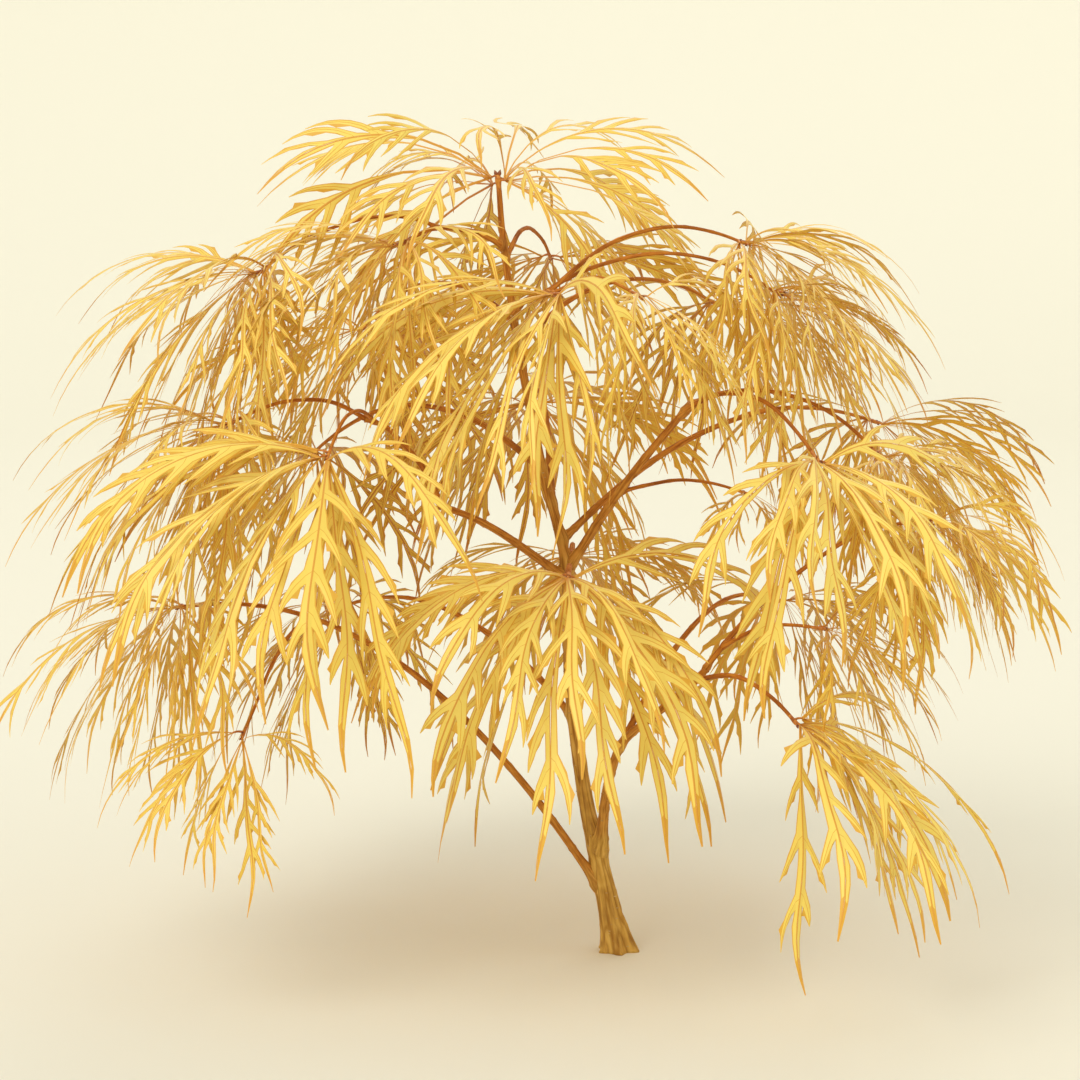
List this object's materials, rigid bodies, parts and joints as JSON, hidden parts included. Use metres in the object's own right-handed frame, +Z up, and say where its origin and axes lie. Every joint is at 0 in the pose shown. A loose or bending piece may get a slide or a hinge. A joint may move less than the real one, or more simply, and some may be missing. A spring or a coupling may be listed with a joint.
{
  "type": "laceleaf japanese maple",
  "caption": "Young weeping laceleaf maple in gold autumn leaf, with a leaning trunk, arching boughs and drooping tufts of cut leaves.",
  "frame": {"origin": "middle of the flat cut under the trunk, at ground level", "axes": "+Z up, -Y towards the front that the picture shows, +X to the right of that front"},
  "size_m": [0.8174, 0.6855, 0.621],
  "materials": {
    "bark": "matt brown bark",
    "twigs": "smooth red-brown bark",
    "leaves": "soft gold leaf with amber edges and tips"
  },
  "bodies": {
    "root": {"back_centre_bough": "twigs", "back_centre_foliage": "leaves", "back_left_bough": "twigs", "back_left_foliage": "leaves", "back_low_centre_bough": "twigs", "back_low_centre_foliage": "leaves", "back_low_left_bough": "twigs", "back_low_left_foliage": "leaves", "back_low_right_bough": "twigs", "back_low_right_foliage": "leaves", "back_right_bough": "twigs", "back_right_foliage": "leaves", "back_top_bough": "twigs", "back_top_foliage": "leaves", "back_upper_left_bough": "twigs", "back_upper_left_foliage": "leaves", "back_upper_right_bough": "twigs", "back_upper_right_foliage": "leaves", "centre_bough": "twigs", "centre_foliage": "leaves", "left_bough": "twigs", "left_front_bough": "twigs", "left_front_foliage": "leaves", "left_outer_bough": "twigs", "left_outer_foliage": "leaves", "left_rising_bough": "twigs", "low_centre_bough": "twigs", "low_centre_foliage": "leaves", "low_front_left_foliage": "leaves", "low_front_left_twig": "twigs", "low_front_right_bough": "twigs", "low_front_right_foliage": "leaves", "low_left_bough": "twigs", "low_left_foliage": "leaves", "low_right_foliage": "leaves", "low_right_twig": "twigs", "right_bough": "twigs", "right_far_bough": "twigs", "right_far_foliage": "leaves", "right_front_bough": "twigs", "right_front_foliage": "leaves", "right_inner_foliage": "leaves", "right_inner_twig": "twigs", "right_outer_bough": "twigs", "right_outer_foliage": "leaves", "second_stem": "bark", "top_foliage": "leaves", "trunk": "bark", "upper_centre_foliage": "leaves", "upper_centre_twig": "twigs", "upper_left_bough": "twigs", "upper_left_foliage": "leaves", "upper_left_outer_bough": "twigs", "upper_left_outer_foliage": "leaves", "upper_right_bough": "twigs", "upper_right_foliage": "leaves", "upper_right_lower_bough": "twigs", "upper_right_lower_foliage": "leaves"}
  },
  "joints": []
}
